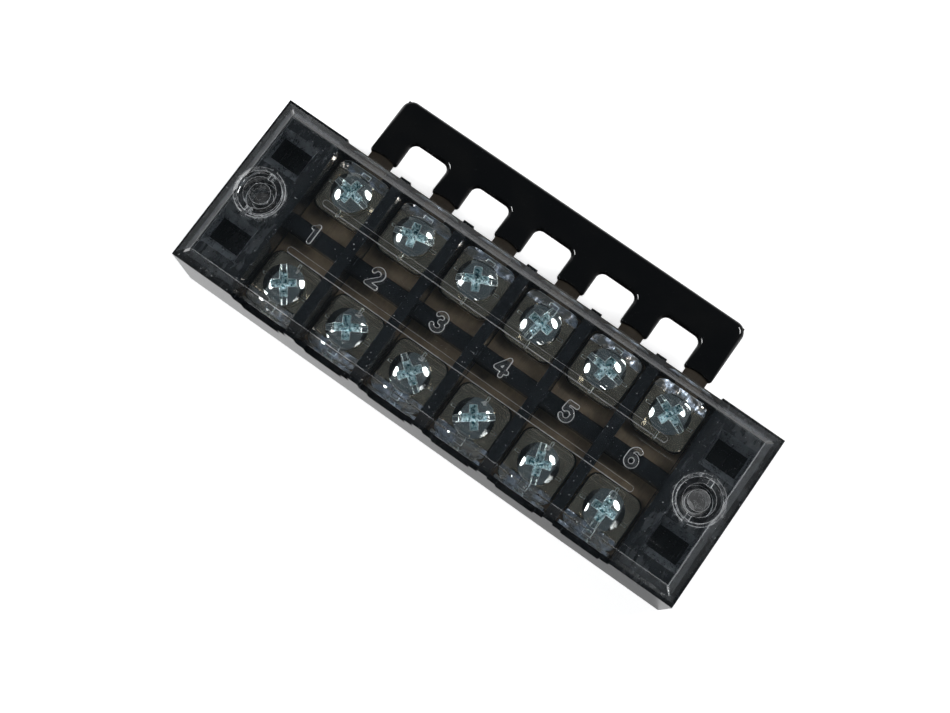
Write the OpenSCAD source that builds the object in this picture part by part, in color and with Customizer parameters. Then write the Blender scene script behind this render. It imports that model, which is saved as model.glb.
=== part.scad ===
// Six pole barrier terminal block with a clear lid and a comb jumper.
// Origin: on the mounting plane, midway between the two mounting holes.
// X runs along the row of poles, Y to the jumper side, Z up.

/* [Poles] */
// Number of poles in the row
poles = 6; // [2:1:8]
// Distance from one pole to the next
pitch = 13; // [12:0.5:18]
// Distance from each long side of the base to its row of screws
row_inset = 6.95; // [6.5:0.05:8]

/* [Base] */
// Length of each end block beyond the outermost pole spaces
end_l = 11.2; // [10.5:0.1:16]
// Width of the base, front to back
block_w = 33; // [32:0.1:40]
// Thickness of the barrier between two poles
barrier_t = 2; // [1.2:0.1:3]
// Thickness of the front and back walls below the wire mouths
wall_t = 1.6; // [1:0.1:2]
// Height of the seat that carries the conductor strips
seat_h = 10.7; // [9:0.1:14]
// Width of the ridge that bridges each strip in the middle
ridge_w = 3; // [2:0.1:4]
// Height of the ridge and of the mouth shoulders above the strip
ridge_rise = 2.7; // [1.5:0.1:3]
// Bevel along the top edges of the ridge
ridge_bevel = 0.4; // [0.1:0.1:0.8]
// Depth of the cores in the underside
core_depth = 8.4; // [1:0.1:8.5]
// Wall left between a core and its neighbours
core_wall = 2.4; // [1.5:0.1:3]
// Thickness of plastic below each screw well
well_floor = 1.8; // [1:0.1:2]

/* [Mounting] */
// Distance from the end of the base to the mounting hole
hole_inset = 6.2; // [6:0.1:7]
// Diameter of the mounting hole
hole_d = 4.3; // [3:0.1:4.4]
// Length of each end pocket along X
pocket_l = 5.7; // [3:0.1:6]
// Width of the end pocket floor along Y
pocket_w = 4.1; // [2:0.1:5]
// Distance from the middle of the base to the middle of a pocket
pocket_y = 8.5; // [7.5:0.1:9]
// Depth of the end pockets
pocket_depth = 7; // [2:0.5:10]
// Bevel along the front and back lips of the pockets
pocket_bevel = 1.4; // [0.2:0.1:1.5]
// Level run of the bevel along the other two lips of the pockets
pocket_lip = 0.6; // [0.1:0.1:0.8]

/* [Conductor strip] */
// Thickness of the strip
strip_t = 1.2; // [0.8:0.1:2]
// Radius of the strip's corners
strip_corner = 0.8; // [0.2:0.1:2]
// Depth of the drawn collar below each tapped hole
collar_drop = 1.8; // [0.5:0.1:3]
// Wall of the drawn collar
collar_wall = 0.8; // [0.4:0.1:1]

/* [Screw and washer] */
// Thread diameter of the terminal screws
screw_d = 3.9; // [3:0.1:4.2]
// Length of the screw below its head
screw_l = 8; // [6:0.5:8.5]
// Bevel round the tip of the screw
tip_bevel = 0.4; // [0.2:0.1:0.8]
// Diameter of the screw head
head_d = 7.1; // [6:0.1:8]
// Height of the screw head
head_h = 2.5; // [2.2:0.1:3.5]
// Rise of the crown above the side of the head
crown_rise = 0.9; // [0.4:0.1:1]
// Rounding between the side and the crown
head_round = 0.7; // [0.2:0.1:1]
// Width of the driver slot and of the cross at the top
slot_w = 1.4; // [0.8:0.1:1.6]
// Narrowing of the slot and of the cross on each side, down to their floors
slot_taper = 0.3; // [0.05:0.05:0.35]
// Depth of the driver slot
slot_depth = 1.3; // [0.9:0.1:1.5]
// Length of the cross recess at the top
cross_l = 4.6; // [3:0.1:5]
// Level run of the sloping ends of the cross
cross_slope = 1; // [0.2:0.1:1.2]
// Depth of the cross recess
cross_depth = 1.9; // [1.3:0.1:2]
// Thickness of the square washers
washer_t = 0.9; // [0.5:0.1:1.5]
// Corner radius of the square washers
washer_corner = 2; // [0.5:0.1:3]
// Bevel round the top of the square washers
washer_bevel = 0.3; // [0.1:0.05:0.4]
// Width of the sloping lip along the outer side of each washer
lip_w = 2; // [1:0.1:2.5]
// Fall of the lip at its outer edge
lip_drop = 0.45; // [0.2:0.05:0.55]
// Length of the pressed grooves in the washers
groove_l = 1.1; // [0.3:0.1:1.2]
// Width of the pressed grooves
groove_w = 0.4; // [0.2:0.05:0.8]
// Width of the groove in the lip
lip_groove_w = 1.6; // [0.8:0.1:2]
// Depth of the pressed grooves
groove_depth = 0.3; // [0.1:0.05:0.4]

/* [Cover] */
// Thickness of the clear cover
cover_t = 1.4; // [0.8:0.1:2.5]
// Distance of the cover's edge inside the edge of the base
rim_inset = 0.6; // [0.2:0.1:1]
// Thickness of the cover's rim, measured level
rim_t = 0.95; // [0.8:0.05:1.6]
// Drop from the base's top face to its ledge, under the rim
ledge_drop = 0.8; // [0.6:0.05:1.2]
// Height of the bevel round the cover
bevel_drop = 1.4; // [1:0.1:1.8]
// Level width of the bevel on the long sides
bevel_side = 1.7; // [1:0.1:3]
// Level width of the bevel at the ends
bevel_end = 2; // [1:0.1:3]
// Distance of each stiffening rib from the middle of the cover
rib_y = 4.9; // [3:0.1:7]
// Width of the stiffening ribs
rib_w = 1.1; // [0.6:0.1:2]
// Height of the ribs and of the end rings above the cover
rib_h = 0.35; // [0.1:0.05:0.8]
// Distance that the ribs run past the outermost poles
rib_past = 1.9; // [0:0.1:3]
// Diameter of the tube that plugs into the base
plug_d = 5.6; // [4.6:0.1:6]
// Wall of the plug
plug_wall = 0.95; // [0.4:0.05:1.2]
// Thickness of the disc that closes the plug on top
plug_disc = 0.8; // [0.5:0.1:1.4]
// Depth of the plug below the cover
plug_depth = 4.6; // [2:0.1:6]
// Width of the open ring round the plug
ring_gap = 0.95; // [0.5:0.05:1.2]
// Width of the raised rim round the open ring
ring_w = 0.6; // [0.3:0.1:0.8]
// Width of the two bridges that carry the plug until it is broken out
bridge_w = 0.9; // [0.5:0.1:1.5]
// Distance that the bridges run past the raised rim
bridge_past = 0.5; // [0:0.1:1]

/* [Jumper] */
// Thickness of the jumper's metal
fork_t = 1; // [0.6:0.1:1.4]
// Width of each tine of a fork
tine_w = 1.45; // [0.8:0.05:2]
// Length of the tines in front of the screw
tine_l = 4.4; // [2.5:0.1:5]
// Width of metal behind the fork's slot
fork_web = 1.8; // [1:0.1:2]
// Length of the shoulder where the fork narrows
fork_shoulder = 1; // [0.4:0.1:1]
// Rounding of the fork's tips
tine_round = 0.6; // [0.2:0.05:0.7]
// Width of the prong behind the fork
neck_w = 4.5; // [3:0.1:6]
// Reach of the jumper beyond the back of the base
jumper_reach = 13.4; // [11:0.1:20]
// Depth of the jumper's bar with its coating
bar_w = 6.2; // [4:0.1:8]
// Thickness of the black coating
coat_t = 0.5; // [0.2:0.05:0.9]
// Radius of the coating in the corners between the prongs
coat_fillet = 1.3; // [0.5:0.1:2]
// Radius of the coating round the outer corners of the bar
coat_corner = 2; // [1:0.1:3]
// Rounding of the coating's outer edges
coat_edge = 0.6; // [0.2:0.05:0.65]
// Length of bare metal between the base and the coating
bare_l = 1.5; // [1:0.1:3]
// Sag of the coating's edge across a prong
dip_sag = 0.6; // [0.3:0.1:1.2]

/* [Clearances] */
// Gap between parts that lie on each other and move apart
seat_gap = 0.05; // [0.05:0.01:0.2]
// Gap on each side of the washers
washer_clear = 0.3; // [0.1:0.05:0.5]
// Gap round the conductor strips
strip_clear = 0.1; // [0.05:0.01:0.3]
// Gap round the screw's thread
thread_clear = 0.12; // [0.08:0.01:0.3]
// Gap round the fork in its mouth and round the screw in the fork
fork_clear = 0.2; // [0.1:0.05:0.4]
// Gap between the cover and the base
cover_clear = 0.1; // [0.06:0.01:0.3]
// Gap round a drawn collar in its well
well_clear = 0.2; // [0.1:0.05:0.4]
// Room for the screws to rise below the cover
lift_room = 1.8; // [1.6:0.1:4]

/* [Hidden] */
$fn = 48;
// Overlap that keeps the faces of cuts and of joined solids from lying on each other
past = 1;
// Angles at which the driver slots came to rest, pole by pole
front_turns = [127, 32, 144, 37, 110, 92];
back_turns = [170, 14, 26, 80, 172, 156];

// Plan
block_l = poles * pitch + 2 * end_l;
bay_w = pitch - barrier_t;
bay_y = block_w / 2 - wall_t;
row_y = block_w / 2 - row_inset;
hole_x = block_l / 2 - hole_inset;

// Conductor strip
strip_w = bay_w - 2 * strip_clear;
strip_l = 2 * (bay_y - strip_clear);
strip_top = seat_h + strip_t;
tap_r = screw_d / 2 + thread_clear;
collar_r = tap_r + collar_wall;
well_r = collar_r + well_clear;

// Fork of the jumper
fork_bottom = strip_top + seat_gap;
fork_top = fork_bottom + fork_t;
slot_r = screw_d / 2 + fork_clear;
fork_w = 2 * (slot_r + tine_w);
fork_back = row_y + slot_r + fork_web;
notch_w = fork_w + 2 * fork_clear;

// Washers and screws
washer_w = bay_w - 2 * washer_clear;
washer_l = 2 * (row_inset - wall_t - washer_clear);
front_washer_z = strip_top + seat_gap;
back_washer_z = fork_top + seat_gap;
front_head_z = front_washer_z + washer_t + seat_gap;
back_head_z = back_washer_z + washer_t + seat_gap;
head_r = head_d / 2;
head_side = head_h - crown_rise;
crown_r = (pow(head_r, 2) + pow(crown_rise, 2)) / (2 * crown_rise);
groove_start = washer_w / 2 - groove_l - washer_bevel - groove_w;

// Heights of the base
base_h = back_head_z + head_h + lift_room;
ledge_h = base_h - ledge_drop;
ridge_h = strip_top + ridge_rise;

// Cover
cover_l = block_l - 2 * rim_inset;
cover_w = block_w - 2 * rim_inset;
cover_z = base_h + seat_gap;
cover_top = cover_z + cover_t;
rim_z = ledge_h + seat_gap;
bevel_slope_side = bevel_side / bevel_drop;
bevel_slope_end = bevel_end / bevel_drop;
plug_r = plug_d / 2;
plug_bore_r = plug_r - plug_wall;
socket_r = plug_r + cover_clear;
ring_r = plug_r + ring_gap;
ring_outer_r = ring_r + ring_w;
rib_l = (poles - 1) * pitch + 2 * rib_past;

// Bar of the jumper
comb_back = block_w / 2 + jumper_reach;
bar_back = comb_back - coat_t;
bar_front = comb_back - bar_w + coat_t;
bar_l = (poles - 1) * pitch + neck_w;
dip_y = block_w / 2 + bare_l;
prong_w = neck_w + 2 * coat_t;
dip_r = (pow(prong_w / 2, 2) + pow(dip_sag, 2)) / (2 * dip_sag);
dip_centre = dip_y + dip_sag - dip_r;
coat_l = bar_l + 2 * coat_t;
coat_h = fork_t + 2 * coat_t;
coat_z = fork_bottom - coat_t;

function pole_x(i) = (i - 1 - (poles - 1) / 2) * pitch;

// Section of a slab whose top edges are bevelled
function bevel_profile(half, h, run, drop) = concat(
    [[-half, 0], [half, 0]],
    drop < h ? [[half, h - drop]] : [],
    [[half - run, h], [run - half, h]],
    drop < h ? [[-half, h - drop]] : []
);

// Rectangle with round corners
module rounded_rect(w, l, r) {
    square([w - 2 * r, l], center = true);
    square([w, l - 2 * r], center = true);
    for (x = [-1, 1], y = [-1, 1])
        translate([x * (w / 2 - r), y * (l / 2 - r)])
            circle(r);
}

// Slab with bevelled top edges that meet in mitres
module bevelled_slab(l, w, h, run_end, run_side, drop) {
    intersection() {
        rotate([90, 0, 0])
            linear_extrude(w, center = true)
                polygon(bevel_profile(l / 2, h, run_end, drop));
        rotate([90, 0, 90])
            linear_extrude(l, center = true)
                polygon(bevel_profile(w / 2, h, run_side, drop));
    }
}

// Raised top of the base, which the cover's rim goes round, with a foot below the ledge
module plateau(grow) {
    edge = rim_inset + rim_t + cover_clear - grow;
    translate([0, 0, -past])
        bevelled_slab(
            block_l - 2 * edge,
            block_w - 2 * edge,
            ledge_drop + past,
            ledge_drop * bevel_slope_end,
            ledge_drop * bevel_slope_side,
            ledge_drop
        );
}

// Space of one pole: open above the strip, bridged by the ridge
module pole_space() {
    difference() {
        translate([-bay_w / 2, -bay_y, seat_h])
            cube([bay_w, 2 * bay_y, base_h]);
        translate([0, 0, strip_top + strip_clear])
            rotate([90, 0, 90])
                linear_extrude(bay_w + past, center = true)
                    polygon(bevel_profile(ridge_w / 2, ridge_rise - strip_clear, ridge_bevel, ridge_bevel));
    }
}

// Wire mouth through the front or back wall, with a notch down to the strip
module wire_mouth() {
    translate([-bay_w / 2, bay_y - past, ridge_h])
        cube([bay_w, wall_t + 2 * past, base_h]);
    translate([-notch_w / 2, bay_y - past, strip_top])
        cube([notch_w, wall_t + 2 * past, base_h]);
}

// Core in the underside, between the two screw wells of a pole
module underside_core() {
    core_l = 2 * (row_y - well_r - core_wall / 2);
    translate([-(pitch - 2 * core_wall) / 2, -core_l / 2, -past])
        cube([pitch - 2 * core_wall, core_l, core_depth + past]);
}

// Section of an end pocket whose lips open out by a run
function pocket_profile(half, run) = [
    [-half, base_h - pocket_depth], [half, base_h - pocket_depth],
    [half, base_h - pocket_bevel], [half + run, base_h], [half + run, base_h + past],
    [-half - run, base_h + past], [-half - run, base_h], [-half, base_h - pocket_bevel]
];

// Pocket in the top of an end block, with bevelled lips that meet in mitres
module end_pocket() {
    intersection() {
        rotate([90, 0, 90])
            linear_extrude(pocket_l + 2 * pocket_lip + past, center = true)
                polygon(pocket_profile(pocket_w / 2, pocket_bevel));
        rotate([90, 0, 0])
            linear_extrude(pocket_w + 2 * pocket_bevel + past, center = true)
                polygon(pocket_profile(pocket_l / 2, pocket_lip));
    }
}

module base_housing() {
    color("#25272a")
    difference() {
        union() {
            translate([-block_l / 2, -block_w / 2, 0])
                cube([block_l, block_w, ledge_h]);
            translate([0, 0, ledge_h])
                plateau(0);
        }
        for (i = [1 : poles])
            translate([pole_x(i), 0, 0]) {
                pole_space();
                underside_core();
                for (side = [0, 1])
                    mirror([0, side, 0]) {
                        wire_mouth();
                        translate([0, row_y, well_floor])
                            cylinder(r = well_r, h = seat_h - well_floor + past);
                    }
            }
        for (side = [-1, 1])
            translate([side * hole_x, 0, 0]) {
                translate([0, 0, -past])
                    cylinder(d = hole_d, h = base_h + 2 * past);
                translate([0, 0, base_h - plug_depth])
                    cylinder(r = socket_r, h = plug_depth + past);
                for (y = [-pocket_y, pocket_y])
                    translate([0, y, 0])
                        end_pocket();
            }
    }
}

// Closed tube, raised ring and bridges over one mounting hole
module cover_ring() {
    ring_top = cover_t + rib_h;
    difference() {
        union() {
            cylinder(r = ring_outer_r, h = ring_top);
            translate([-bridge_w / 2, -ring_outer_r - bridge_past, 0])
                cube([bridge_w, 2 * (ring_outer_r + bridge_past), ring_top]);
        }
        translate([0, 0, -past])
            cylinder(r = ring_r, h = ring_top + 2 * past);
    }
    difference() {
        union() {
            translate([-bridge_w / 2, -ring_r - ring_w / 2, 0])
                cube([bridge_w, 2 * ring_r + ring_w, cover_t]);
            translate([0, 0, seat_gap - plug_depth])
                cylinder(r = plug_r, h = plug_depth + cover_t - seat_gap);
        }
        translate([0, 0, -plug_depth - past])
            cylinder(r = plug_bore_r, h = plug_depth + past + cover_t - plug_disc);
    }
}

module cover_rib() {
    linear_extrude(rib_h) {
        square([rib_l - rib_w, rib_w], center = true);
        for (side = [-1, 1])
            translate([side * (rib_l - rib_w) / 2, 0])
                circle(d = rib_w);
    }
}

module clear_cover() {
    color([0.82, 0.86, 0.88, 0.35])
    union() {
        difference() {
            translate([0, 0, rim_z])
                bevelled_slab(cover_l, cover_w, cover_top - rim_z, bevel_end, bevel_side, bevel_drop);
            translate([0, 0, rim_z])
                plateau(cover_clear);
            for (side = [-1, 1])
                translate([side * hole_x, 0, cover_z - past])
                    cylinder(r = ring_r, h = cover_t + 2 * past);
        }
        for (side = [-1, 1]) {
            translate([side * hole_x, 0, cover_z])
                cover_ring();
            translate([0, side * rib_y, cover_top])
                cover_rib();
        }
    }
}

module conductor_strip(i) {
    color("#8a7f6c")
    translate([pole_x(i), 0, seat_h])
    difference() {
        union() {
            linear_extrude(strip_t)
                rounded_rect(strip_w, strip_l, strip_corner);
            for (y = [-row_y, row_y])
                translate([0, y, -collar_drop])
                    cylinder(r = collar_r, h = collar_drop);
        }
        for (y = [-row_y, row_y])
            translate([0, y, -collar_drop - past])
                cylinder(r = tap_r, h = collar_drop + strip_t + 2 * past);
    }
}

// Square plate with round corners and a bevel round its top
module washer_plate() {
    rotate([90, 0, 0])
        linear_extrude(washer_l - 2 * washer_corner, center = true)
            polygon(bevel_profile(washer_w / 2, washer_t, washer_bevel, washer_bevel));
    rotate([90, 0, 90])
        linear_extrude(washer_w - 2 * washer_corner, center = true)
            polygon(bevel_profile(washer_l / 2, washer_t, washer_bevel, washer_bevel));
    for (x = [-1, 1], y = [-1, 1])
        translate([x * (washer_w / 2 - washer_corner), y * (washer_l / 2 - washer_corner), 0]) {
            cylinder(r = washer_corner, h = washer_t - washer_bevel);
            translate([0, 0, washer_t - washer_bevel])
                cylinder(r1 = washer_corner, r2 = washer_corner - washer_bevel, h = washer_bevel);
        }
}

// Wedge above the lip, which falls towards +Y
module lip_cut() {
    inner = washer_l / 2 - lip_w;
    slope = lip_drop / lip_w;
    rotate([90, 0, 90])
        linear_extrude(washer_w + past, center = true)
            polygon([
                [inner, washer_t], [inner + lip_w + past, washer_t - (lip_w + past) * slope],
                [inner + lip_w + past, washer_t + past], [inner, washer_t + past]
            ]);
}

// Washer whose lip is on the side away from the middle of the base
module square_washer(x, y, z) {
    color("#8d8f92")
    translate([x, y, z])
    rotate(y < 0 ? 180 : 0)
    difference() {
        washer_plate();
        translate([0, 0, -past])
            cylinder(r = tap_r, h = washer_t + 2 * past);
        lip_cut();
        for (turn = [0 : 90 : 270])
            rotate(turn) {
                w = turn == 90 ? lip_groove_w : groove_w;
                depth = turn == 90 ? lip_drop : groove_depth;
                translate([groove_start, -w / 2, washer_t - depth])
                    cube([groove_l, w, depth + past]);
            }
    }
}

// Head with a round shoulder under a shallow crown
module screw_head() {
    intersection() {
        union() {
            cylinder(r = head_r - head_round, h = head_h);
            cylinder(r = head_r, h = head_side - head_round + crown_rise / 2);
            translate([0, 0, head_side - head_round + crown_rise / 2])
                rotate_extrude()
                    translate([head_r - head_round, 0])
                        circle(head_round);
        }
        translate([0, 0, head_h - crown_r])
            sphere(crown_r);
    }
}

// Slot right across the head and a cross with sloping ends, both narrower at the floor
module driver_recess() {
    translate([0, 0, head_h + past])
        mirror([0, 0, 1]) {
            rotate([90, 0, 90])
                linear_extrude(head_d + 2 * past, center = true)
                    polygon(bevel_profile(slot_w / 2, slot_depth + past, slot_taper, slot_depth));
            for (turn = [0, 90])
                rotate(turn)
                    bevelled_slab(cross_l, slot_w, cross_depth + past, cross_slope, slot_taper, cross_depth);
        }
}

module terminal_screw(x, y, z, turn) {
    color("#b9c2c8")
    translate([x, y, z])
    difference() {
        union() {
            screw_head();
            translate([0, 0, tip_bevel - screw_l])
                cylinder(d = screw_d, h = screw_l - tip_bevel);
            translate([0, 0, -screw_l])
                cylinder(d1 = screw_d - 2 * tip_bevel, d2 = screw_d, h = tip_bevel);
        }
        rotate(turn)
            driver_recess();
    }
}

// Outline of the bar and its prongs
module comb_outline() {
    translate([-bar_l / 2, bar_front])
        square([bar_l, bar_back - bar_front]);
    for (i = [1 : poles])
        translate([pole_x(i) - neck_w / 2, fork_back])
            square([neck_w, bar_front - fork_back + past]);
}

// Open fork that goes round one back screw
module fork_outline() {
    tip = row_y - tine_l;
    difference() {
        union() {
            translate([0, (tip + fork_back) / 2])
                rounded_rect(fork_w, fork_back - tip, tine_round);
            polygon([
                [-fork_w / 2, fork_back - tine_round], [fork_w / 2, fork_back - tine_round],
                [neck_w / 2, fork_back + fork_shoulder], [-neck_w / 2, fork_back + fork_shoulder]
            ]);
        }
        translate([0, row_y])
            circle(slot_r);
        translate([-slot_r, tip - past])
            square([2 * slot_r, row_y - tip + past]);
    }
}

module jumper_bar() {
    color("#7d6f58")
    translate([0, 0, fork_bottom])
        linear_extrude(fork_t) {
            comb_outline();
            for (i = [1 : poles])
                translate([pole_x(i), 0])
                    fork_outline();
        }
}

// Outline of the coating, with a window between each two prongs
module coat_outline() {
    window_back = comb_back - bar_w;
    difference() {
        translate([0, (dip_centre + comb_back) / 2])
            rounded_rect(coat_l, comb_back - dip_centre, coat_corner);
        for (i = [1 : poles - 1])
            translate([pole_x(i) + pitch / 2, window_back / 2])
                rounded_rect(pitch - prong_w, window_back, coat_fillet);
    }
}

// Coating round the bar and the prongs, cut back in an arc on each prong
module jumper_sleeve() {
    color("#1d1f22")
    difference() {
        intersection() {
            translate([0, 0, coat_z])
                linear_extrude(coat_h)
                    coat_outline();
            translate([0, 0, coat_z + coat_h / 2])
                rotate([90, 0, 90])
                    linear_extrude(coat_l + past, center = true)
                        rounded_rect(2 * comb_back, coat_h, coat_edge);
            translate([0, 0, coat_z + coat_h / 2])
                rotate([90, 0, 0])
                    linear_extrude(2 * comb_back + past, center = true)
                        rounded_rect(coat_l, coat_h, coat_edge);
        }
        jumper_bar();
        for (i = [1 : poles])
            translate([pole_x(i), dip_centre, coat_z - past])
                cylinder(r = dip_r, h = coat_h + 2 * past);
    }
}

base_housing();
clear_cover();
jumper_bar();
jumper_sleeve();
for (i = [1 : poles]) {
    x = pole_x(i);
    conductor_strip(i);
    square_washer(x, -row_y, front_washer_z);
    square_washer(x, row_y, back_washer_z);
    terminal_screw(x, -row_y, front_head_z, front_turns[(i - 1) % len(front_turns)]);
    terminal_screw(x, row_y, back_head_z, back_turns[(i - 1) % len(back_turns)]);
}
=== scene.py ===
"""Looks of a barrier terminal block: black base, clear cover, zinc screws, dipped comb jumper."""

import math

import bmesh
import bpy
import numpy as np
from bpy.props import FloatProperty, FloatVectorProperty, IntProperty, PointerProperty
from bpy.types import Operator, Panel, PropertyGroup
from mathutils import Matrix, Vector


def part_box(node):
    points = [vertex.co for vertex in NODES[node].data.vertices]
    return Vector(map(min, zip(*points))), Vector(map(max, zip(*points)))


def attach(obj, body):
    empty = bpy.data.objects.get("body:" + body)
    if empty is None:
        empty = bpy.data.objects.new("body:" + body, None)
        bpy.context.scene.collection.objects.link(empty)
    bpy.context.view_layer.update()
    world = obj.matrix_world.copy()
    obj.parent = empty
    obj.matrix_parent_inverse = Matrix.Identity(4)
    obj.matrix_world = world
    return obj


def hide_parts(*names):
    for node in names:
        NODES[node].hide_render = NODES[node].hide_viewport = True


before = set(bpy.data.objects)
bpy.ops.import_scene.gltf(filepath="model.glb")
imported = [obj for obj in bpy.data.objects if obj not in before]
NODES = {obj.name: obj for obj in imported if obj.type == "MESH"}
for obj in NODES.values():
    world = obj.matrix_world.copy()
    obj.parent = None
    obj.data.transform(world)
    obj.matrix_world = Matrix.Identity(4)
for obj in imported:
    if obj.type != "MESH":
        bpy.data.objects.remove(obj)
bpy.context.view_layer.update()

bl_info = {
    "name": "Barrier Terminal Block",
    "version": (1, 0, 0),
    "blender": (4, 5, 0),
    "location": "View3D > Sidebar > Terminal",
    "description": "Dresses the solids of a barrier terminal block and sets up its studio",
    "category": "Object",
}

POLES = sum(name.startswith("conductor_strip_") for name in NODES)
MM = 0.001
MERGE_DISTANCE = 1e-7
HOUSING_IOR, COVER_IOR, COATING_IOR = 1.45, 1.49, 1.52


# Shader maths


class Sock:
    """One output socket of a node tree. Arithmetic on it adds Math nodes to the tree."""

    def __init__(self, wiring, socket):
        self.wiring = wiring
        self.socket = socket

    def math(self, operation, *operands):
        sockets = dict(enumerate(operands))
        return self.wiring.node("ShaderNodeMath", {"operation": operation}, sockets)

    def __add__(self, other):
        return self.math("ADD", self, other)

    __radd__ = __add__

    def __sub__(self, other):
        return self.math("SUBTRACT", self, other)

    def __rsub__(self, other):
        return self.math("SUBTRACT", other, self)

    def __mul__(self, other):
        return self.math("MULTIPLY", self, other)

    def __truediv__(self, other):
        return self.math("DIVIDE", self, other)

    def __pow__(self, other):
        return self.math("POWER", self, other)

    def __abs__(self):
        return self.math("ABSOLUTE", self)

    def __mod__(self, other):
        return self.math("FLOORED_MODULO", self, other)

    def over(self, other):
        """1 where this value is larger than the other, and 0 elsewhere."""
        return self.math("GREATER_THAN", self, other)

    def most(self, other):
        """The larger of the two values."""
        return self.math("MAXIMUM", self, other)

    def angle(self, level):
        """The angle of the point (level, this value) about the origin, in radians."""
        return self.math("ARCTAN2", self, level)


class Wiring:
    """A node tree under construction."""

    def __init__(self, owner):
        self.owner = owner
        owner.use_nodes = True
        self.tree = owner.node_tree
        self.tree.nodes.clear()

    def node(self, kind, settings=None, sockets=None, out=0):
        """Adds a node: its settings first, then the values or links of its sockets."""
        made = self.tree.nodes.new(kind)
        for key, value in (settings or {}).items():
            setattr(made, key, value)
        for key, value in (sockets or {}).items():
            if isinstance(value, Sock):
                self.tree.links.new(value.socket, made.inputs[key])
            else:
                made.inputs[key].default_value = value
        return Sock(self, made.outputs[out]) if made.outputs else made

    def parts(self, vector):
        """The x, y and z of a vector."""
        split = self.node("ShaderNodeSeparateXYZ", sockets={0: vector}).socket.node
        return [Sock(self, output) for output in split.outputs]

    def band(self, value, low, high, to_low=0.0, to_high=1.0):
        """Runs smoothly from to_low to to_high as the value goes from low to high."""
        return self.node(
            "ShaderNodeMapRange",
            {"interpolation_type": "SMOOTHSTEP"},
            {0: value, 1: low, 2: high, 3: to_low, 4: to_high},
        )

    def mix(self, share, first, second):
        """Colour that goes from the first to the second as share goes from 0 to 1."""
        return self.node(
            "ShaderNodeMix", {"data_type": "RGBA"}, {0: share, 6: first, 7: second}, out=2
        )


class Finish(Wiring):
    """A material under construction. All its patterns read Object coordinates, in metres."""

    def __init__(self, name):
        super().__init__(bpy.data.materials.new(name))

    def place(self):
        return self.node("ShaderNodeTexCoord", out="Object")

    def facing(self):
        """The three parts of the surface's direction in the piece's own frame."""
        return self.parts(self.node("ShaderNodeTexCoord", out="Normal"))

    def stretched(self, stretch, turn=(0, 0, 0)):
        """The place, turned and stretched for a pattern with a grain."""
        return self.node(
            "ShaderNodeMapping",
            sockets={"Vector": self.place(), "Rotation": turn, "Scale": stretch},
        )

    def noise(self, scale, detail=2.0, roughness=0.5, vector=None):
        return self.node(
            "ShaderNodeTexNoise",
            sockets={
                "Vector": vector or self.place(),
                "Scale": scale,
                "Detail": detail,
                "Roughness": roughness,
            },
        )

    def softened(self, radius):
        """Surface direction with the edges rounded off over a radius."""
        return self.node("ShaderNodeBevel", {"samples": 4}, {"Radius": radius})

    def edge(self, radius):
        """0 on flat faces, rising towards edges that are nearer than the radius."""
        flat = self.node("ShaderNodeNewGeometry", out="Normal")
        kept = self.node(
            "ShaderNodeVectorMath",
            {"operation": "DOT_PRODUCT"},
            {0: self.softened(radius), 1: flat},
            out="Value",
        )
        return 1.0 - kept

    def bump(self, height, distance, strength, normal=None):
        sockets = {"Height": height, "Distance": distance, "Strength": strength}
        if normal:
            sockets["Normal"] = normal
        return self.node("ShaderNodeBump", sockets=sockets)

    def surface(self, sockets):
        return self.node("ShaderNodeBsdfPrincipled", sockets=sockets)

    def done(self, shader):
        self.node("ShaderNodeOutputMaterial", sockets={"Surface": shader})
        return self.owner

    def opaque(self, colour, rough, shape, others):
        """The finished material with one plain surface."""
        sockets = {"Base Color": colour, "Roughness": rough, "Normal": shape}
        return self.done(self.surface({**sockets, **others}))


def grey(value):
    return (value, value, value, 1.0)


def solid(colour):
    return (*colour, 1.0)


def dress(material, *names):
    """Gives a material to CAD nodes by name."""
    for name in names:
        NODES[name].data.materials.clear()
        NODES[name].data.materials.append(material)


def like(word):
    return [name for name in NODES if word in name]


# Shapes


def put(name, points, faces, body, material, replaced=()):
    """Makes a closed smooth piece that has its place in its mesh, and rides it on a body."""
    mesh = bpy.data.meshes.new(name)
    mesh.from_pydata(points.tolist(), [], faces)
    shape = bmesh.new()
    shape.from_mesh(mesh)
    bmesh.ops.remove_doubles(shape, verts=shape.verts, dist=MERGE_DISTANCE)
    bmesh.ops.recalc_face_normals(shape, faces=shape.faces)
    shape.to_mesh(mesh)
    shape.free()
    mesh.shade_smooth()
    mesh.materials.append(material)
    piece = bpy.data.objects.new(name, mesh)
    bpy.context.scene.collection.objects.link(piece)
    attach(piece, body)
    if replaced:
        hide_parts(*replaced)


def tube_faces(rows, columns):
    """Quads of a grid of points whose columns close into a ring."""
    row, column = np.meshgrid(np.arange(rows - 1), np.arange(columns), indexing="ij")
    after = (column + 1) % columns
    quads = [
        row * columns + column,
        row * columns + after,
        (row + 1) * columns + after,
        (row + 1) * columns + column,
    ]
    return np.stack(quads, -1).reshape(-1, 4).tolist()


def line(*corners):
    """Points of a line through its corners."""
    return np.array(corners, float)


def arc(cx, cy, rx, ry, start, end, count=24):
    """Points of an ellipse's arc: centre plus (rx cos t, ry sin t), t from start to end degrees."""
    t = np.radians(np.linspace(start, end, count))
    return np.stack([cx + rx * np.cos(t), cy + ry * np.sin(t)], -1)


def stroke_distance(points, strokes):
    """Distance of each point from the nearest of the strokes, each a row of straight steps."""
    nearest = np.full(points.shape[:-1], np.inf)
    for stroke in strokes:
        for first, last in zip(stroke[:-1], stroke[1:]):
            along = last - first
            share = ((points - first) @ along / max(along @ along, 1e-12)).clip(0, 1)
            reach = np.linalg.norm(points - first - share[..., None] * along, axis=-1)
            nearest = np.minimum(nearest, reach)
    return nearest


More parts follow.
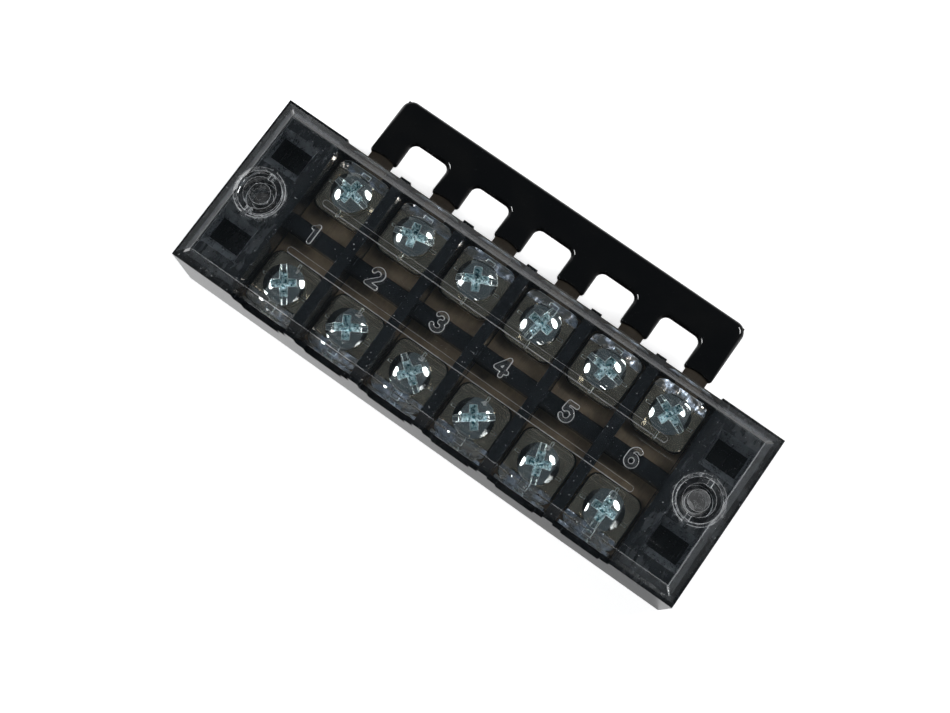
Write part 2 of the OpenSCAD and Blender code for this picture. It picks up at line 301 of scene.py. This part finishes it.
def raised_strokes(strokes, ground, look):
    """Raised lettering: a grid whose height falls as the distance from the strokes grows.

    The height is numeral_rise above the ground up to numeral_top from a stroke, numeral_sink
    below the ground from numeral_foot on, and goes straight down between them. Cells outside
    are dropped, and a flat foot, lower by numeral_sink, with upright sides closes the piece.
    """
    low, high = ground - look.numeral_sink, ground + look.numeral_rise
    cell, spread = look.numeral_cell, look.numeral_foot
    corners = np.concatenate(strokes)
    margin = spread + 2 * cell
    lowest, highest = corners.min(0) - margin, corners.max(0) + margin
    across = [np.arange(a, b, cell) for a, b in zip(lowest, highest)]
    plan = np.stack(np.meshgrid(*across, indexing="ij"), -1)
    reach = stroke_distance(plan, strokes)
    level = np.interp(reach, [look.numeral_top, spread], [high, low])
    rows, columns = reach.shape
    index = np.arange(rows * columns).reshape(rows, columns)
    cells = [index[:-1, :-1], index[1:, :-1], index[1:, 1:], index[:-1, 1:]]
    quads = np.stack(cells, -1).reshape(-1, 4)
    quads = quads[(reach.ravel()[quads] < spread + cell).all(1)]
    edges = np.stack([quads, np.roll(quads, -1, 1)], -1).reshape(-1, 2)
    _, first, times = np.unique(np.sort(edges, 1), axis=0, return_index=True, return_counts=True)
    rim = edges[first[times == 1]]
    under = rows * columns
    top = np.concatenate([plan, level[..., None]], -1).reshape(-1, 3)
    base = np.full_like(level, low)[..., None] - look.numeral_sink
    foot = np.concatenate([plan, base], -1).reshape(-1, 3)
    sides = np.stack([rim[:, 0], rim[:, 1], rim[:, 1] + under, rim[:, 0] + under], -1)
    faces = np.concatenate([quads, quads[:, ::-1] + under, sides])
    used, renumbered = np.unique(faces, return_inverse=True)
    points = np.concatenate([top, foot])[used]
    return points, renumbered.reshape(faces.shape).tolist()


def numeral_strokes(number):
    """Centre lines of a numeral in a box 1 high about the origin, made of lines and arcs."""
    strokes = {
        1: [[line((-0.16, 0.30), (0.05, 0.50), (0.05, -0.50))]],
        2: [[arc(0, 0.22, 0.29, 0.28, 170, -38), line((-0.30, -0.50), (0.31, -0.50))]],
        3: [[arc(0, 0.25, 0.27, 0.25, 160, -80), arc(0, -0.23, 0.30, 0.27, 80, -160)]],
        4: [
            [line((0.12, 0.50), (-0.33, -0.20), (0.34, -0.20))],
            [line((0.13, 0.50), (0.13, -0.50))],
        ],
        5: [
            [
                line((0.26, 0.50), (-0.20, 0.50), (-0.25, 0.06)),
                arc(0, -0.17, 0.30, 0.33, 140, -150),
            ]
        ],
        6: [[arc(0.04, 0.10, 0.31, 0.40, 60, 180), arc(0, -0.20, 0.28, 0.30, 180, 540, 40)]],
    }
    return [np.concatenate(runs) for runs in strokes[number]]


def comb_arcs(look):
    """Outline of the jumper's coating: centre x and y, radius, bulge, two angles and softness.

    Bulge is 1 on outer corners and -1 in hollow ones. Softness is the share of the round edge
    that the arc gets. The dip's arc ends 1.4 nib radii from the sides of the prong.
    """
    half, fillet, corner = look.prong_width / 2, look.window_fillet, look.bar_corner
    nib, sag, back, window = look.nib_round, look.dip_sag, look.comb_back, look.window_back
    soft, dip_end = 0.3, 1.4 * nib
    radius = (half**2 + sag**2) / (2 * sag)
    centre = look.dip_y + sag - radius
    swing = math.degrees(math.asin((half - dip_end) / radius))
    nib_y = centre + math.sqrt(radius**2 - (half - nib) ** 2) + nib
    middles = look.pitch * (np.arange(POLES) - (POLES - 1) / 2)
    rows = []
    for left, right in zip(middles, [*middles[1:], None]):
        rows += [
            (left - half + nib, nib_y, nib, 1, 180, 270, soft),
            (left, centre, radius, -1, 90 + swing, 90 - swing, soft),
            (left + half - nib, nib_y, nib, 1, 270, 360, soft),
        ]
        if right is not None:
            rows += [
                (left + half + fillet, window - fillet, fillet, -1, 180, 90, 1),
                (right - half - fillet, window - fillet, fillet, -1, 90, 0, 1),
            ]
    side = middles[-1] + half
    rows += [
        (side - corner, back - corner, corner, 1, 0, 90, 1),
        (corner - side, back - corner, corner, 1, 90, 180, 1),
    ]
    return np.array(rows)


def comb_coating(look):
    """Coated comb: its outline drawn in by r(1 - cos a) and lifted by r sin a, a from -90 to 90."""
    cx, cy, size, bulge, start, end, soft = comb_arcs(look).T
    turn = np.radians(np.linspace(start, end, look.arc_steps, axis=1))
    lean = np.radians(np.linspace(-90, 90, look.edge_steps))
    thick = look.coating_thickness / 2
    inset = thick * (1 - np.cos(lean))
    radius = size - bulge * soft * inset[:, None]
    x = cx[:, None] + radius[..., None] * np.cos(turn)
    y = cy[:, None] + radius[..., None] * np.sin(turn)
    z = np.broadcast_to((look.coating_middle + thick * np.sin(lean))[:, None, None], x.shape)
    points = np.stack([x, y, z], -1).reshape(-1, 3)
    count = turn.size
    faces = tube_faces(len(lean), count)
    caps = np.arange(count)
    faces += [caps[::-1].tolist(), (caps + (len(lean) - 1) * count).tolist()]
    return points, faces


# Finishes


def housing_finish(look):
    """Black moulded plastic: glossy walls, grained tops with scuffs, worn end blocks, dust, and
    pale edges that are partly rubbed wear and partly a painted highlight.
    """
    f = Finish("black_moulded_plastic")
    up = f.facing()[2]
    top = f.band(up, 0.5, 0.9)
    lip = f.band(up, 0.3, 0.38) * (1.0 - f.band(up, 0.9, 0.97))
    ends = f.band(abs(f.parts(f.place())[0]), *look.end_block)
    blotch = f.noise(180, 4, 0.6)
    scuff = f.noise(900, 6, 0.7, f.stretched((1.0, 0.35, 1.0), (0, 0, 0.5)))
    fine = f.noise(5200, 3, 0.6)
    # Pale colour along the edges: partly rubbed wear, partly a painted highlight of the rounded
    # edges.
    rubbed = f.band(f.edge(0.3 * MM), 0.03, 0.3) * f.band(f.noise(1300, 4), 0.45, 0.65)
    dusty = top * f.band(scuff * 0.6 + blotch * 0.4, 0.47, 0.68) * (ends * 0.8 + 0.2)
    worn = lip * ends * f.band(scuff * 0.5 + fine * 0.5, 0.35, 0.6)
    specks = f.band(f.noise(2600, 1), 0.73, 0.79) * f.band(up, 0.2, 0.5)
    scuffed = dusty * f.band(fine, 0.3, 0.7) * 0.6
    colour = f.mix(scuffed, solid(look.housing_colour), solid(look.scuff_colour))
    colour = f.mix((rubbed * 0.35).most(worn * 0.22), colour, solid(look.rubbed_colour))
    colour = f.mix(specks * 0.6, colour, solid(look.dust_colour))
    rough = 0.12 + top * (0.02 + ends * 0.08) + dusty * 0.2 + worn * 0.25 + blotch * 0.04
    grain = fine * top * (ends + 0.3) + f.noise(600, 2) * 0.15
    shape = f.bump(grain, 0.03 * MM, 0.5, f.softened(0.07 * MM))
    return f.opaque(colour, rough, shape, {"IOR": HOUSING_IOR})


def cover_finish(look, name, glint_and_frost_share):
    """Clear moulded plastic that lets lamps through, with hairline scratches, and white on its
    edges as a painted highlight.

    The function passed in takes the finish and gives the share of white at each point, which paints
    highlights and, on the cover, also shows real scuffs.
    """
    f = Finish(name)
    lines = None
    for turn, width in ((0.3, 0.75), (1.4, 0.77), (2.5, 0.76)):
        fine = f.noise(1.0, 2, 0.5, f.stretched((60, 5200, 60), (0, 0, turn)))
        hair = f.band(fine, width, width + 0.03)
        lines = hair if lines is None else lines.most(hair)
    lines = lines * f.band(f.facing()[2], 0.9, 0.99)
    shape = f.bump(f.noise(160, 1) + lines * -0.25, 0.02 * MM, 0.4)
    clear = f.surface(
        {
            "Base Color": solid(look.cover_colour),
            "Roughness": 0.008 + lines * 0.15,
            "IOR": COVER_IOR,
            "Transmission Weight": 1.0,
            "Normal": shape,
        }
    )
    # Matt white that paints the highlights of edges and walls.
    white = f.surface({"Base Color": solid(look.frost_colour), "Roughness": 0.45})
    share = glint_and_frost_share(f).most(lines * 0.1)
    body = f.node("ShaderNodeMixShader", sockets={0: share, 1: clear, 2: white})
    open_to_lamps = f.node("ShaderNodeBsdfTransparent", sockets={0: solid(look.cover_shade)})
    lamp = f.node("ShaderNodeLightPath", out="Is Shadow Ray")
    return f.done(f.node("ShaderNodeMixShader", sockets={0: lamp, 1: body, 2: open_to_lamps}))


def glinting_and_rubbed_edges(look):
    """Share of white on the cover: a painted highlight, thin along every edge, and real scuffs
    round the two rings.
    """

    def share(f):
        x, y, _ = f.parts(f.place())
        off = abs(x) - look.ring_x
        reach = (off * off + y * y) ** 0.5
        near = 1.0 - f.band(reach, *look.ring_wear)
        scuff = f.band(f.noise(1500, 5, 0.7), 0.5, 0.72) * near
        scuff = scuff * f.band(reach, *look.plug_wear, 0.35, 1.0)
        middle = 1.0 - f.band(abs(x), *look.number_length)
        middle = middle * (1.0 - f.band(abs(y), *look.number_width))
        # Where the edge highlight is painted at full strength: near the rings and over the numbers.
        shown = near.most(middle * 0.6).most(0.05)
        glint_breaks = f.band(f.noise(500, 3), 0.25, 0.5, 0.5, 0.9)
        # Painted highlight along every edge, broken up by noise.
        edge = f.band(f.edge(0.12 * MM), 0.01, 0.12) * glint_breaks
        return (edge * shown).most(scuff * 0.35)

    return share


def glinting_walls(f):
    """Share of white on the numbers: a painted highlight on their sloping walls."""
    up = f.facing()[2]
    return (1.0 - f.band(up, 0.7, 0.93)) * 0.65


def from_column(f, look):
    """Distance from the nearest pole's middle along X."""
    x = f.parts(f.place())[0]
    return (x + POLES * look.pitch / 2) % look.pitch - look.pitch / 2


def from_row(f, look):
    """Distance from the nearer row of screws along Y, and 1 at the back or 0 in front."""
    y = f.parts(f.place())[1]
    back = y.over(0.0)
    return y - (back * 2.0 - 1.0) * look.row_y, back


def screw_finish(look):
    """Blue-white zinc plate: a mottled sheen, a crumpled teal recess with painted shade in dark
    patches, rims with a painted highlight, and a thread.
    """
    f = Finish("blue_white_zinc")
    x = from_column(f, look)
    y, back = from_row(f, look)
    z = f.parts(f.place())[2]
    reach = (x * x + y * y) ** 0.5
    crown = look.front_head_top + back * (look.back_head_top - look.front_head_top)
    depth = crown - z
    steep = 1.0 - f.band(f.facing()[2], 0.80, 0.93)
    floor = f.band(depth, *look.recess_floor)
    recess = steep.most(floor) * f.band(depth, *look.recess_rim)
    recess = recess * (1.0 - f.band(reach, *look.recess_reach))
    mottle = f.noise(1500, 3, 0.5)
    crumple = f.noise(2300, 3, 0.6)
    # Pale colour on the rims is a painted highlight.
    edge_glint = f.band(f.edge(0.2 * MM), 0.03, 0.2)
    sheen = f.band(mottle, 0.35, 0.7) * 0.3
    colour = f.mix(sheen, solid(look.zinc_colour), solid(look.zinc_pale))
    # Dark patches in the recess are painted shade between the glints of the bump.
    patches = f.band(crumple, 0.41, 0.56)
    teal = f.mix(patches, solid(look.recess_dark), solid(look.recess_colour))
    colour = f.mix(recess, colour, teal)
    colour = f.mix(edge_glint * 0.8, colour, solid(look.zinc_pale))
    rough = 0.05 + mottle * 0.03 + recess * (0.12 + mottle * 0.25) + edge_glint * 0.3
    turn = y.angle(x) / (2 * math.pi)
    thread = abs((z / look.thread_pitch - turn) % 1.0 - 0.5) * 2.0
    shank = f.band(depth, *look.shank)
    height = mottle * 0.01 + crumple * recess * 7.0 + thread * shank * 2.0
    shape = f.bump(height, 0.1 * MM, 0.8, f.softened(0.12 * MM))
    return f.opaque(colour, rough, shape, {"Metallic": 1.0})


def washer_finish(look):
    """Zinc plated plate: browner than the screws, with a painted bluish reflection in patches on
    its crumpled lip, and painted highlights on its edges.
    """
    f = Finish("zinc_plate")
    y, back = from_row(f, look)
    lip = f.band(y * (back * 2.0 - 1.0), *look.lip)
    stain = f.noise(420, 2, 0.5)
    patch = f.band(f.noise(520, 4, 0.6), 0.42, 0.62)
    edge_glint = f.band(f.edge(0.22 * MM), 0.03, 0.3)
    stained = f.band(stain, 0.35, 0.7)
    colour = f.mix(stained, solid(look.washer_colour), solid(look.washer_stain))
    # Bluish colour on the lip is a painted reflection, in patches.
    colour = f.mix(lip * (0.3 + patch * 0.7), colour, solid(look.lip_colour))
    # Pale colour on the edges is a painted highlight.
    colour = f.mix(edge_glint, colour, solid(look.zinc_pale))
    rough = 0.05 + stain * 0.04 + lip * (0.04 + patch * 0.14) + edge_glint * 0.4
    shape = f.bump(f.noise(380, 2, 0.5) * lip, 0.5 * MM, 0.8, f.softened(0.15 * MM))
    return f.opaque(colour, rough, shape, {"Metallic": 1.0})


def strip_finish(name, colour, stain):
    """Dull plated sheet: rolled along Y, with brown stains."""
    f = Finish(name)
    rolled = f.noise(1.0, 3, 0.6, f.stretched((6000, 300, 900)))
    patch = f.noise(260, 5, 0.65)
    stained = f.band(patch * 0.7 + rolled * 0.3, 0.35, 0.7)
    tone = f.mix(stained, solid(colour), solid(stain))
    rough = 0.30 + rolled * 0.16 + patch * 0.12
    shape = f.bump(rolled, 0.01 * MM, 0.5, f.softened(0.1 * MM))
    return f.opaque(tone, rough, shape, {"Metallic": 0.9})


def coating_finish(look):
    """Glossy black dipped vinyl with a faint orange peel."""
    f = Finish("black_dipped_vinyl")
    peel = f.noise(700, 2)
    bloom = f.noise(140, 3)
    bloomed = f.band(bloom, 0.4, 0.75)
    colour = f.mix(bloomed, solid(look.coating_colour), solid(look.bloom_colour))
    rough = 0.08 + f.band(bloom, 0.45, 0.8) * 0.04
    shape = f.bump(peel, 0.03 * MM, 0.35)
    return f.opaque(colour, rough, shape, {"IOR": COATING_IOR})


def floor_finish(look):
    """Matt white paper that keeps its shadow.

    The camera sees it lifted to white. Gloss sees a share of the lift that falls off along X
    and leaves out the paper in the block's shade, and glass sees the lift away from the block.
    """
    f = Finish("white_paper")
    camera, glass, gloss = (
        f.node("ShaderNodeLightPath", out=f"Is {kind} Ray")
        for kind in ("Camera", "Transmission", "Glossy")
    )
    x, y, _ = f.parts(f.place())
    fade, beside = look.shade_fade, abs(y - look.shade_middle)
    along = 1.0 - f.band(abs(x), look.shade_length, look.shade_length + fade)
    across = 1.0 - f.band(beside, look.shade_width, look.shade_width + fade)
    share = f.band(x, look.gloss_left, look.gloss_right, look.gloss_share, 0.0)
    far = f.band((x * x + y * y) ** 0.5, look.glass_near, look.glass_far)
    mirrored = gloss * (1.0 - glass) * share * (1.0 - along * across)
    seen = camera.most((glass * far).most(mirrored))
    sockets = {
        "Base Color": grey(look.floor_tone),
        "Roughness": 0.9,
        "Emission Color": f.mix(seen, grey(0.0), grey(look.floor_lift)),
        "Emission Strength": 1.0,
    }
    return f.done(f.surface(sockets))


def studio_walls(look):
    """A pale wall on the left, a duller one on the right, dim ones elsewhere, a dark ceiling."""
    w = Wiring(bpy.data.worlds.new("studio"))
    x, _, height = w.parts(w.node("ShaderNodeTexCoord", out="Generated"))
    wall = w.mix(w.band(x, *look.left_wall), grey(look.left_tone), grey(look.dim_tone))
    wall = w.mix(w.band(x, *look.right_wall), wall, grey(look.right_tone))
    tone = w.mix(w.band(height, *look.wall_top), wall, solid(look.ceiling_tone))
    light = w.node("ShaderNodeBackground", sockets={"Color": tone})
    w.node("ShaderNodeOutputWorld", sockets={"Surface": light})
    return w.owner


# Settings


def number(name, text, value, unit="NONE"):
    return FloatProperty(name=name, description=text, default=value, unit=unit)


def length(name, text, millimetres):
    return FloatProperty(
        name=name, description=text, default=millimetres * MM, unit="LENGTH", precision=5
    )


def span(name, text, low, high, scale=MM):
    """The two ends of a gradual change, in millimetres unless a scale is given."""
    ends = (low * scale, high * scale)
    return FloatVectorProperty(name=name, description=text, default=ends, size=2, precision=5)


def vector(name, text, value, subtype="TRANSLATION"):
    return FloatVectorProperty(
        name=name, description=text, default=value, subtype=subtype, precision=6
    )


def colour(name, text, value):
    return FloatVectorProperty(
        name=name, description=text, default=value, subtype="COLOR", size=3, min=0, max=1
    )


def steps(name, text, count):
    return IntProperty(name=name, description=text, default=count, min=4)


class TerminalSizes(PropertyGroup):
    """Sizes that the pieces of the scene share with the solids, and the places of their wear and of
    their painted highlights.
    """

    pitch: length("Pole pitch", "Distance from one pole to the next", 13.0)
    row_y: length("Row distance", "Distance of a row of screws from the middle", 9.55)
    front_head_top: length("Front head top", "Height of the front screw heads", 15.4)
    back_head_top: length("Back head top", "Height of the back screw heads", 16.45)
    thread_pitch: length("Thread pitch", "Rise of the screw in one turn", 0.7)
    recess_rim: span("Recess rim", "Depth at which a recess sets in", 0.05, 0.3)
    recess_floor: span("Recess floor", "Depth at which a recess's floor sets in", 0.9, 1.2)
    recess_reach: span("Recess reach", "Distance from the axis where a recess ends", 2.0, 2.6)
    shank: span("Shank", "Depth below the crown at which the thread sets in", 2.4, 2.6)
    lip: span("Lip", "Distance from the row at which a washer's lip sets in", 2.9, 3.2)
    prong_width: length("Prong width", "Width of a coated prong", 5.5)
    window_fillet: length("Window fillet", "Radius in the corners between two prongs", 1.3)
    bar_corner: length("Bar corner", "Radius of the outer corners of the comb", 2.0)
    nib_round: length("Nib round", "Radius of the coating's corners on a prong", 0.6)
    dip_y: length("Dip line", "Distance of the coating's edge from the middle", 18.0)
    dip_sag: length("Dip sag", "Depth of the arc of the coating's edge", 0.6)
    window_back: length("Window back", "Distance of the far side of the windows", 23.7)
    comb_back: length("Comb back", "Distance of the back of the comb", 29.9)
    coating_thickness: length("Coating thickness", "Thickness of the coated comb", 2.0)
    coating_middle: length("Coating height", "Height of the middle of the comb", 12.45)
    arc_steps: steps("Arc steps", "Points on each arc of the comb", 11)
    edge_steps: steps("Edge steps", "Points over the round edge of the comb", 13)
    rib_height: length("Rib height", "Height of the cover's ribs and rings above its top", 0.35)
    numeral_height: length("Numeral height", "Height of a number between stroke middles", 3.0)
    numeral_top: length("Numeral top", "Half the width of a stroke on top", 0.33)
    numeral_foot: length("Numeral foot", "Half the width of a stroke at its foot", 0.42)
    numeral_pitch: length("Numeral pitch", "Distance from one number to the next", 12.8)
    numeral_x: length("Numeral shift", "Shift of the row of numbers along X", -0.5)
    numeral_y: length("Numeral place", "Distance of the numbers from the middle", -0.5)
    numeral_rise: length("Numeral rise", "Height of the numbers above the cover", 0.22)
    numeral_sink: length("Numeral sink", "Depth of the numbers' foot in the cover", 0.02)
    numeral_cell: length("Numeral cell", "Side of a cell of the numbers' grid", 0.045)
    ring_x: length("Ring place", "Distance of the cover's rings from the middle", 44.0)
    # Near the rings the cover gets real scuffs and a full painted edge highlight.
    ring_wear: span("Ring wear", "Distance from a ring's middle where scuffs end", 4.2, 4.8)
    plug_wear: span("Plug wear", "Distance from a ring's middle where they get strong", 2.6, 3.0)
    # The middle named here is the numbers' area, where the cover's edges get a stronger painted
    # highlight.
    number_length: span("Number length", "Place along X where the rubbed middle ends", 40.0, 41.0)
    number_width: span("Number width", "Place along Y where the rubbed middle ends", 9.0, 10.0)
    end_block: span("End block", "Place along X where the worn ends of the base set in", 38.2, 39.2)


class TerminalColours(PropertyGroup):
    """Colours of the finishes."""

    housing_colour: colour("Housing", "Black plastic of the base", (0.0036, 0.0044, 0.0054))
    scuff_colour: colour("Scuffs", "Scuffs on the top of the base", (0.036, 0.042, 0.048))
    # Pale edge colour: partly rubbed wear, partly a painted edge highlight.
    rubbed_colour: colour("Rubbed edges", "Pale rubbed edges of the base", (0.14, 0.155, 0.17))
    dust_colour: colour("Dust", "Specks of dust on the base", (0.4, 0.4, 0.4))
    cover_colour: colour("Cover", "Clear plastic", (0.955, 0.97, 0.98))
    cover_shade: colour("Cover shade", "Light that the cover lets through", (0.88, 0.90, 0.91))
    # White that paints highlights on the cover's edges and the numbers' walls, and shows real
    # scuffs round the rings.
    frost_colour: colour("Frost", "Whitened plastic on edges and numbers", (0.82, 0.83, 0.84))
    zinc_colour: colour("Zinc", "Zinc plate of the screws", (0.86, 0.88, 0.84))
    # Pale zinc in the screws' mottled patches, and a painted highlight on screw and washer edges.
    zinc_pale: colour("Pale zinc", "Bright zinc on edges and patches", (0.80, 0.94, 0.97))
    recess_colour: colour("Recess", "Bluish zinc in the driver recess", (0.80, 0.95, 0.98))
    # Painted shade, in dark patches in the driver recess.
    recess_dark: colour("Dark recess", "Dark patches in the driver recess", (0.05, 0.15, 0.18))
    washer_colour: colour("Washer", "Zinc plate of the washers", (0.90, 0.77, 0.59))
    washer_stain: colour("Washer stain", "Darker stains on the washers", (0.67, 0.55, 0.41))
    # Painted bluish reflection on the washers' outer lip.
    lip_colour: colour("Washer lip", "Bluish lip on the washers' outer side", (0.62, 0.71, 0.84))
    strip_colour: colour("Strip", "Plated strip", (0.108, 0.083, 0.056))
    strip_stain: colour("Strip stain", "Brown stains on the strip", (0.07, 0.052, 0.035))
    jumper_colour: colour("Jumper metal", "Bare metal of the jumper", (0.055, 0.046, 0.036))
    jumper_stain: colour("Jumper stain", "Stains on the jumper's metal", (0.032, 0.026, 0.02))
    coating_colour: colour("Coating", "Black dipped vinyl", (0.003, 0.0032, 0.0036))
    bloom_colour: colour("Bloom", "Paler patches on the vinyl", (0.005, 0.005, 0.005))


class TerminalStage(PropertyGroup):
    """Floor, walls, lamps and camera."""

    floor_tone: number("Floor tone", "Reflectance of the paper", 0.9)
    floor_lift: number("Floor lift", "White added where the paper is seen", 0.7)
    gloss_share: number("Gloss share", "Share of that white that gloss shows", 0.46)
    gloss_left: length("Gloss left", "Place along X from which gloss shows less white", -50.0)
    gloss_right: length("Gloss right", "Place along X from which gloss shows none of it", 40.0)
    glass_near: length("Glass near", "Distance up to which glass shows none of it", 56.0)
    glass_far: length("Glass far", "Distance from which glass shows all of it", 72.0)
    floor_size: length("Floor size", "Half the side of the paper", 3000.0)
    floor_lap: length("Floor lap", "Width of the paper that goes under the base", 0.2)
    shade_length: length("Shade length", "Half the length of the shaded paper", 47.0)
    shade_width: length("Shade width", "Half the width of the shaded paper", 22.5)
    shade_middle: length("Shade middle", "Distance of the shade's middle from the block's", 8.5)
    shade_fade: length("Shade fade", "Width over which the shade fades out", 2.0)
    left_wall: span("Left wall", "Direction in which the left wall ends", -0.9, -0.3, 1.0)
    right_wall: span("Right wall", "Direction in which the right wall sets in", 0.5, 0.9, 1.0)
    wall_top: span("Wall top", "Direction in which the walls fade into the ceiling", 0.2, 0.6, 1.0)
    left_tone: number("Left tone", "Light from the left wall", 0.42)
    right_tone: number("Right tone", "Light from the right wall", 0.28)
    dim_tone: number("Dim tone", "Light from the other walls", 0.14)
    ceiling_tone: colour("Ceiling tone", "Light from overhead", (0.050, 0.060, 0.068))
    key_power: number("Key power", "Power of the back lamp", 2.4, "POWER")
    key_place: vector("Key place", "Place of the back lamp", (0.29, 0.395, 0.567))
    fill_power: number("Fill power", "Power of the front lamp", 2.2, "POWER")
    fill_place: vector("Fill place", "Place of the front lamp", (-0.475, -0.152, 0.56))
    lamp_width: length("Lamp width", "Level side of each soft box", 300.0)
    lamp_height: length("Lamp height", "Upright side of each soft box", 150.0)
    camera_place: vector("Camera place", "Place of the lens", (0.025919, -0.039367, 0.259182))
    camera_turn: vector(
        "Camera turn",
        "Tilt, roll and heading of the camera",
        tuple(math.radians(a) for a in (10.63198, -0.38684, 35.41392)),
        "EULER",
    )
    camera_start: length("Camera start", "Distance from which the camera sees", 10.0)
    lens: number("Lens", "Focal length of the camera", 56.7188, "CAMERA")
    sensor: number("Sensor", "Width of the camera's frame", 36.0, "CAMERA")


class Look:
    """The sizes and colours of a scene, read as one set."""

    def __init__(self, scene):
        self.groups = (scene.terminal_sizes, scene.terminal_colours)

    def __getattr__(self, name):
        for group in self.groups:
            if name in group.bl_rna.properties:
                return getattr(group, name)
        raise AttributeError(name)


# Operators


class TERMINAL_OT_stage(Operator):
    """Lay the white floor round the base's foot, hang two soft boxes and set up the camera"""

    bl_idname = "terminal.stage"
    bl_label = "Set Up Stage"

    def execute(self, context):
        scene, stage = context.scene, context.scene.terminal_stage
        scene.view_settings.view_transform = "Standard"
        corners = np.array([(-1, -1, 0), (1, -1, 0), (1, 1, 0), (-1, 1, 0)])
        edge = np.array(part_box("base_housing")[1]) - stage.floor_lap
        points = np.concatenate([corners * stage.floor_size, corners * edge])
        sides = [(i, (i + 1) % 4, (i + 1) % 4 + 4, i + 4) for i in range(4)]
        mesh = bpy.data.meshes.new("floor")
        mesh.from_pydata(points.tolist(), [], sides)
        mesh.materials.append(floor_finish(stage))
        floor = bpy.data.objects.new("floor", mesh)
        scene.collection.objects.link(floor)
        self.lamp(scene, "key", stage.key_place, stage.key_power)
        self.lamp(scene, "fill", stage.fill_place, stage.fill_power)
        scene.world = studio_walls(stage)
        lens = bpy.data.cameras.new("camera")
        lens.lens = stage.lens
        lens.sensor_width = stage.sensor
        lens.clip_start = stage.camera_start
        camera = bpy.data.objects.new("camera", lens)
        camera.location = stage.camera_place
        camera.rotation_euler = stage.camera_turn
        scene.collection.objects.link(camera)
        scene.camera = camera
        return {"FINISHED"}

    def lamp(self, scene, name, place, power):
        """Hangs a soft box that faces the origin."""
        light = bpy.data.lights.new(name, "AREA")
        light.energy = power
        light.shape = "ELLIPSE"
        light.size = scene.terminal_stage.lamp_width
        light.size_y = scene.terminal_stage.lamp_height
        lamp = bpy.data.objects.new(name, light)
        lamp.location = place
        lamp.rotation_euler = place.to_track_quat("Z", "Y").to_euler()
        scene.collection.objects.link(lamp)


class TERMINAL_OT_housing(Operator):
    """Dress the base"""

    bl_idname = "terminal.housing"
    bl_label = "Dress Base"

    def execute(self, context):
        dress(housing_finish(Look(context.scene)), "base_housing")
        return {"FINISHED"}


class TERMINAL_OT_metal(Operator):
    """Dress the strips, washers, screws and the jumper's metal"""

    bl_idname = "terminal.metal"
    bl_label = "Dress Metal"

    def execute(self, context):
        look = Look(context.scene)
        dress(screw_finish(look), *like("_screw_"))
        dress(washer_finish(look), *like("_washer_"))
        strip = strip_finish("plated_strip", look.strip_colour, look.strip_stain)
        dress(strip, *like("conductor_strip_"))
        bar = strip_finish("plated_comb", look.jumper_colour, look.jumper_stain)
        dress(bar, "jumper_bar")
        return {"FINISHED"}


class TERMINAL_OT_cover(Operator):
    """Dress the cover and raise the pole numbers on it"""

    bl_idname = "terminal.cover"
    bl_label = "Dress Cover"

    def execute(self, context):
        look = Look(context.scene)
        dress(cover_finish(look, "clear_moulded_plastic", glinting_and_rubbed_edges(look)), "clear_cover")
        raised = cover_finish(look, "raised_clear_plastic", glinting_walls)
        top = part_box("clear_cover")[1].z - look.rib_height
        for pole in range(1, POLES + 1):
            along = look.numeral_pitch * (pole - 1 - (POLES - 1) / 2)
            middle = [look.numeral_x + along, look.numeral_y]
            strokes = [s * look.numeral_height + middle for s in numeral_strokes(pole)]
            points, faces = raised_strokes(strokes, top, look)
            put(f"pole_number_{pole}", points, faces, "cover", raised)
        return {"FINISHED"}


class TERMINAL_OT_coating(Operator):
    """Make the dipped coating of the jumper with its round edges"""

    bl_idname = "terminal.coating"
    bl_label = "Make Coating"

    def execute(self, context):
        look = Look(context.scene)
        material = coating_finish(look)
        dress(material, "jumper_sleeve")
        points, faces = comb_coating(look)
        replaced = ["jumper_sleeve"]
        put("dipped_coating", points, faces, "jumper", material, replaced)
        return {"FINISHED"}


class TERMINAL_PT_panel(Panel):
    """Steps of the terminal block's dressing"""

    bl_label = "Terminal Block"
    bl_space_type = "VIEW_3D"
    bl_region_type = "UI"
    bl_category = "Terminal"

    def draw(self, context):
        for operator in OPERATORS:
            self.layout.operator(operator.bl_idname)
        for group in GROUPS:
            settings = getattr(context.scene, group)
            for name in GROUPS[group].__annotations__:
                self.layout.prop(settings, name)


GROUPS = {
    "terminal_sizes": TerminalSizes,
    "terminal_colours": TerminalColours,
    "terminal_stage": TerminalStage,
}
OPERATORS = (
    TERMINAL_OT_stage,
    TERMINAL_OT_housing,
    TERMINAL_OT_metal,
    TERMINAL_OT_cover,
    TERMINAL_OT_coating,
)


def register():
    for group in GROUPS.values():
        bpy.utils.register_class(group)
    for name, group in GROUPS.items():
        setattr(bpy.types.Scene, name, PointerProperty(type=group))
    for kind in (*OPERATORS, TERMINAL_PT_panel):
        bpy.utils.register_class(kind)


def unregister():
    for kind in (TERMINAL_PT_panel, *reversed(OPERATORS)):
        bpy.utils.unregister_class(kind)
    for name, group in GROUPS.items():
        delattr(bpy.types.Scene, name)
        bpy.utils.unregister_class(group)


def main():
    register()
    bpy.ops.terminal.stage()
    bpy.ops.terminal.housing()
    bpy.ops.terminal.metal()
    bpy.ops.terminal.cover()
    bpy.ops.terminal.coating()


if __name__ == "__main__":
    main()
